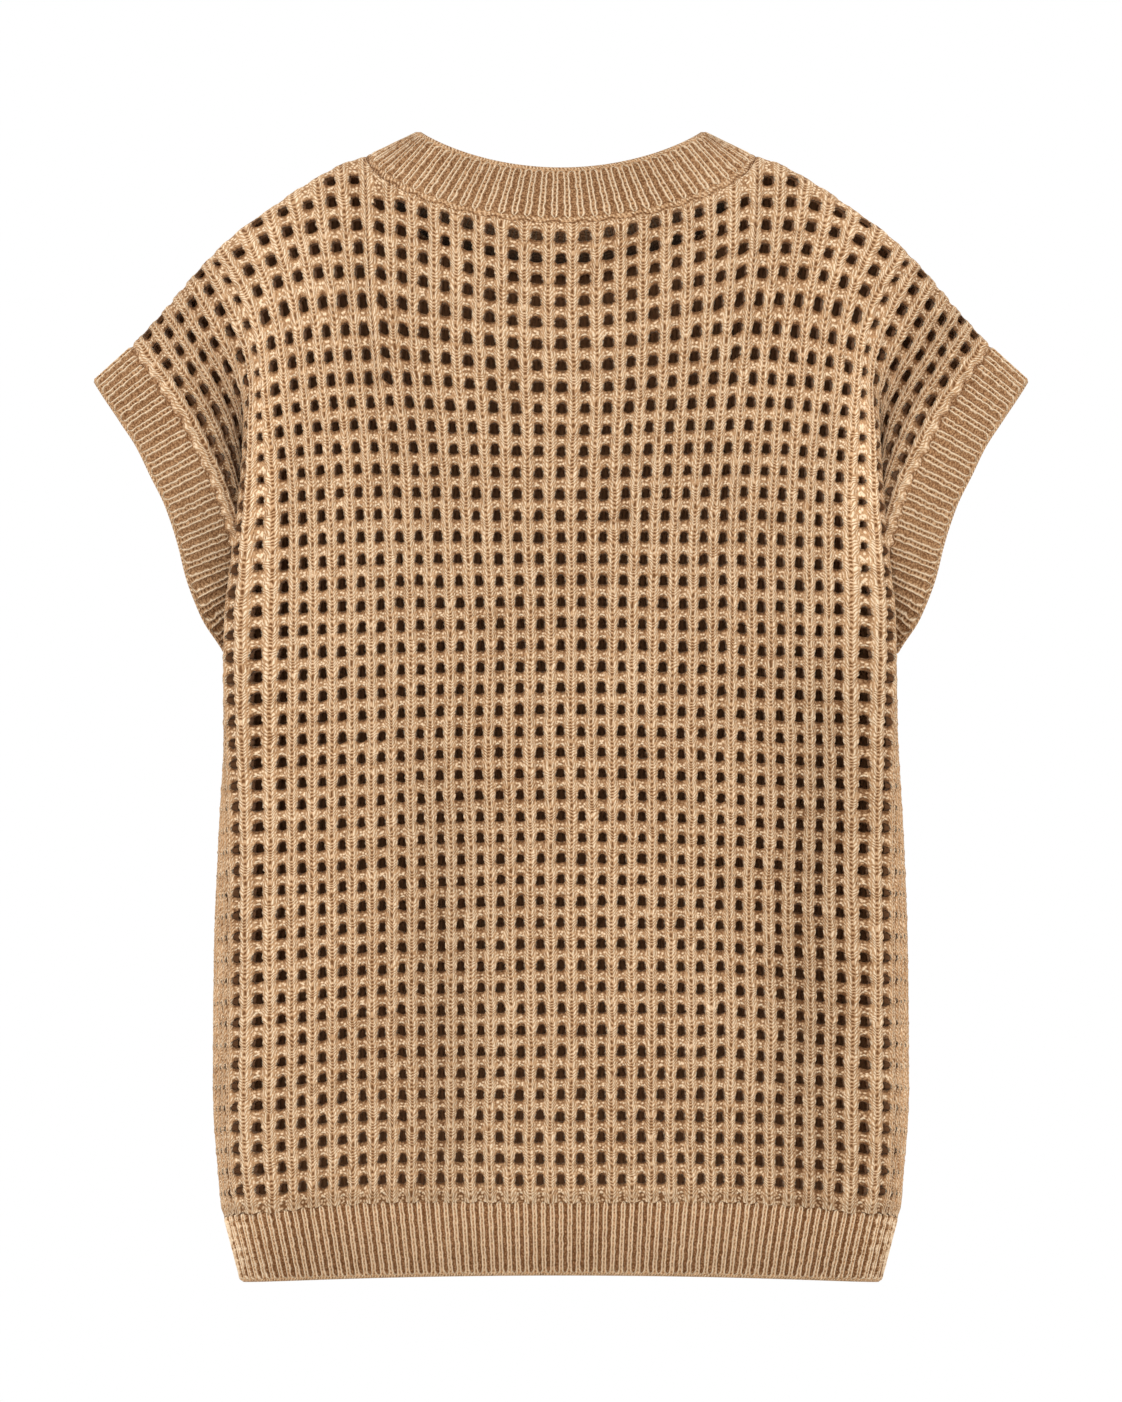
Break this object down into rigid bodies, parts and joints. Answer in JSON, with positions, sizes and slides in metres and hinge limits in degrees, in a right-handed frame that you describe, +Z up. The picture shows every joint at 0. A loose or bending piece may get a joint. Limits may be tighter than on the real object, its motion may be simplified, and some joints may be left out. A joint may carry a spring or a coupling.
{
  "type": "sweater vest",
  "caption": "Sleeveless knitted vest in an open ladder stitch, boxy, with dropped cap shoulders and ribbed neck, arm and hem bands, filled out and hollow",
  "frame": {"origin": "middle of the vest from side to side and from back to front, at the height of the two highest points of the neck band, where the wearer's shoulders hold it up", "axes": "X from the left to the right of the back as seen in the picture, Y from the back to the front, Z up"},
  "size_m": [0.518, 0.1326, 0.6327],
  "materials": {
    "back_panel": "soft camel yarn, open ladder stitch",
    "front_panel": "soft camel yarn, open ladder stitch",
    "neck_band": "soft camel yarn, narrow rib",
    "armband_left": "soft camel yarn, narrow rib",
    "armband_right": "soft camel yarn, narrow rib",
    "hem_band": "soft camel yarn, narrow rib"
  },
  "bodies": {
    "root": {"back_panel": "back_panel", "front_panel": "front_panel", "neck_band": "neck_band", "armband_left": "armband_left", "armband_right": "armband_right", "hem_band": "hem_band"}
  },
  "joints": []
}
